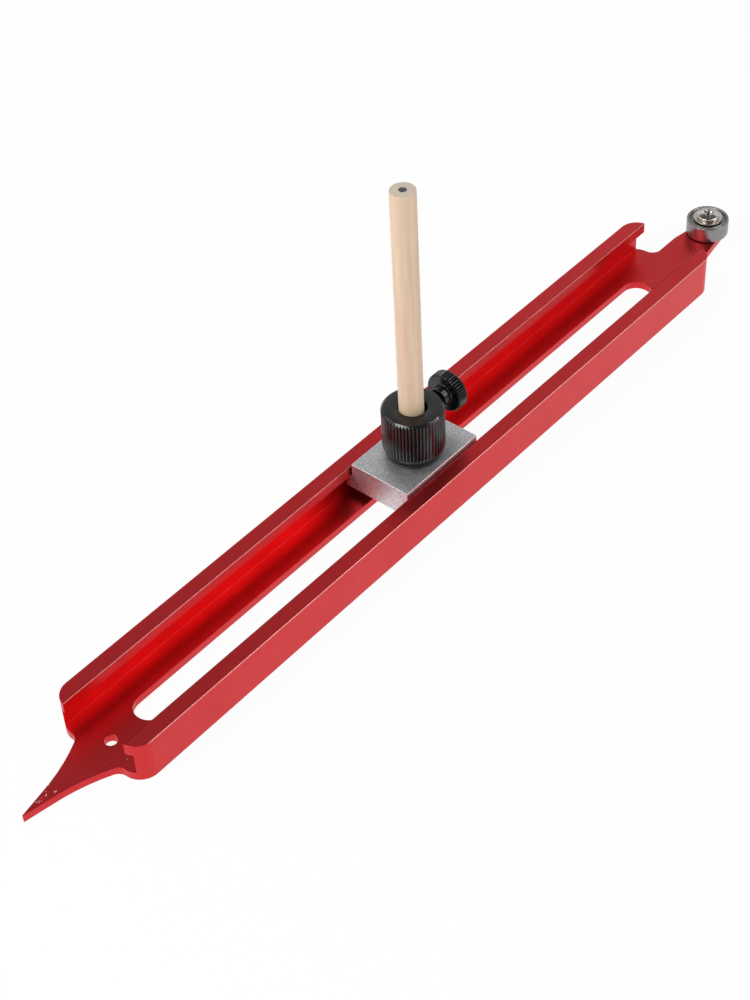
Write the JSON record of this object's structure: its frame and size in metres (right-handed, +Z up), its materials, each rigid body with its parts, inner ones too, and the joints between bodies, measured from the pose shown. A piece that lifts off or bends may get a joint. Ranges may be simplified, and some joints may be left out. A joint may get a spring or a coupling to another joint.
{
  "type": "contour scribing tool",
  "caption": "Open channel with a sharp scribing point, a guide bearing on an arm, and a sliding block whose knurled clamp barrel holds a pencil.",
  "frame": {"origin": "middle of the channel's underside", "axes": "+X from the scribing point to the guide bearing, +Y across the channel, +Z up towards the top of the pencil"},
  "size_m": [0.2995, 0.03, 0.0997],
  "materials": {
    "red_anodised": "satin red anodised",
    "blasted_aluminium": "fine bead-blasted, clear anodised",
    "black_anodised": "satin black anodised",
    "black_steel": "black oxide",
    "pencil_wood": "plain sanded, unpainted",
    "graphite": "dull graphite",
    "bearing_steel": "ground and polished",
    "ball_steel": "polished",
    "cage_brass": "pressed",
    "shield_steel": "pressed, satin",
    "zinc_steel": "bright zinc",
    "nickel_steel": "bright nickel"
  },
  "bodies": {
    "channel": {"channel_body": "red_anodised", "bearing_inner_ring": "bearing_steel", "spacer_washer": "zinc_steel", "screw_washer": "zinc_steel", "bearing_screw": "nickel_steel"},
    "bearing_outer": {"bearing_outer_ring": "bearing_steel", "bearing_shield_bottom": "shield_steel", "bearing_shield_top": "shield_steel"},
    "bearing_cage": {"bearing_cage": "cage_brass", "bearing_ball_1": "ball_steel", "bearing_ball_2": "ball_steel", "bearing_ball_3": "ball_steel", "bearing_ball_4": "ball_steel", "bearing_ball_5": "ball_steel", "bearing_ball_6": "ball_steel", "bearing_ball_7": "ball_steel"},
    "slider": {"slider_block": "blasted_aluminium"},
    "barrel": {"clamp_barrel": "black_anodised"},
    "thumb_stud": {"thumb_stud": "black_steel"},
    "thumb_knob": {"thumb_knob": "black_anodised"},
    "pencil": {"pencil_wood": "pencil_wood", "pencil_lead": "graphite"}
  },
  "joints": [
    {"name": "bearing_spin", "type": "hinge", "parent": "channel", "child": "bearing_outer", "pos_m": [0.1438, 0, 0.0051], "axis": [0, 0, 1], "continuous": true},
    {"name": "cage_spin", "type": "hinge", "parent": "channel", "child": "bearing_cage", "pos_m": [0.1438, 0, 0.0051], "axis": [0, 0, 1], "continuous": true},
    {"name": "slider_travel", "type": "slide", "parent": "channel", "child": "slider", "axis": [1, 0, 0], "range_m": [-0.1048, 0.107]},
    {"name": "barrel_clamp", "type": "hinge", "parent": "slider", "child": "barrel", "pos_m": [-0.001, 0, 0.0139], "axis": [0, 0, 1], "range_deg": [0, 90]},
    {"name": "thumb_feed", "type": "slide", "parent": "barrel", "child": "thumb_stud", "axis": [1, 0, 0], "range_m": [0, 0.0021]},
    {"name": "thumb_turn", "type": "hinge", "parent": "thumb_stud", "child": "thumb_knob", "pos_m": [0.0125, 0, 0.0249], "axis": [1, 0, 0], "range_deg": [0, 1080]},
    {"name": "pencil_height", "type": "slide", "parent": "barrel", "child": "pencil", "axis": [0, 0, 1], "range_m": [-0.01, 0.02]}
  ],
  "couplings": [
    {"joint": "cage_spin", "follows": "bearing_spin", "ratio": 0.64},
    {"joint": "thumb_turn", "follows": "thumb_feed", "rad_per_m": 8976}
  ]
}
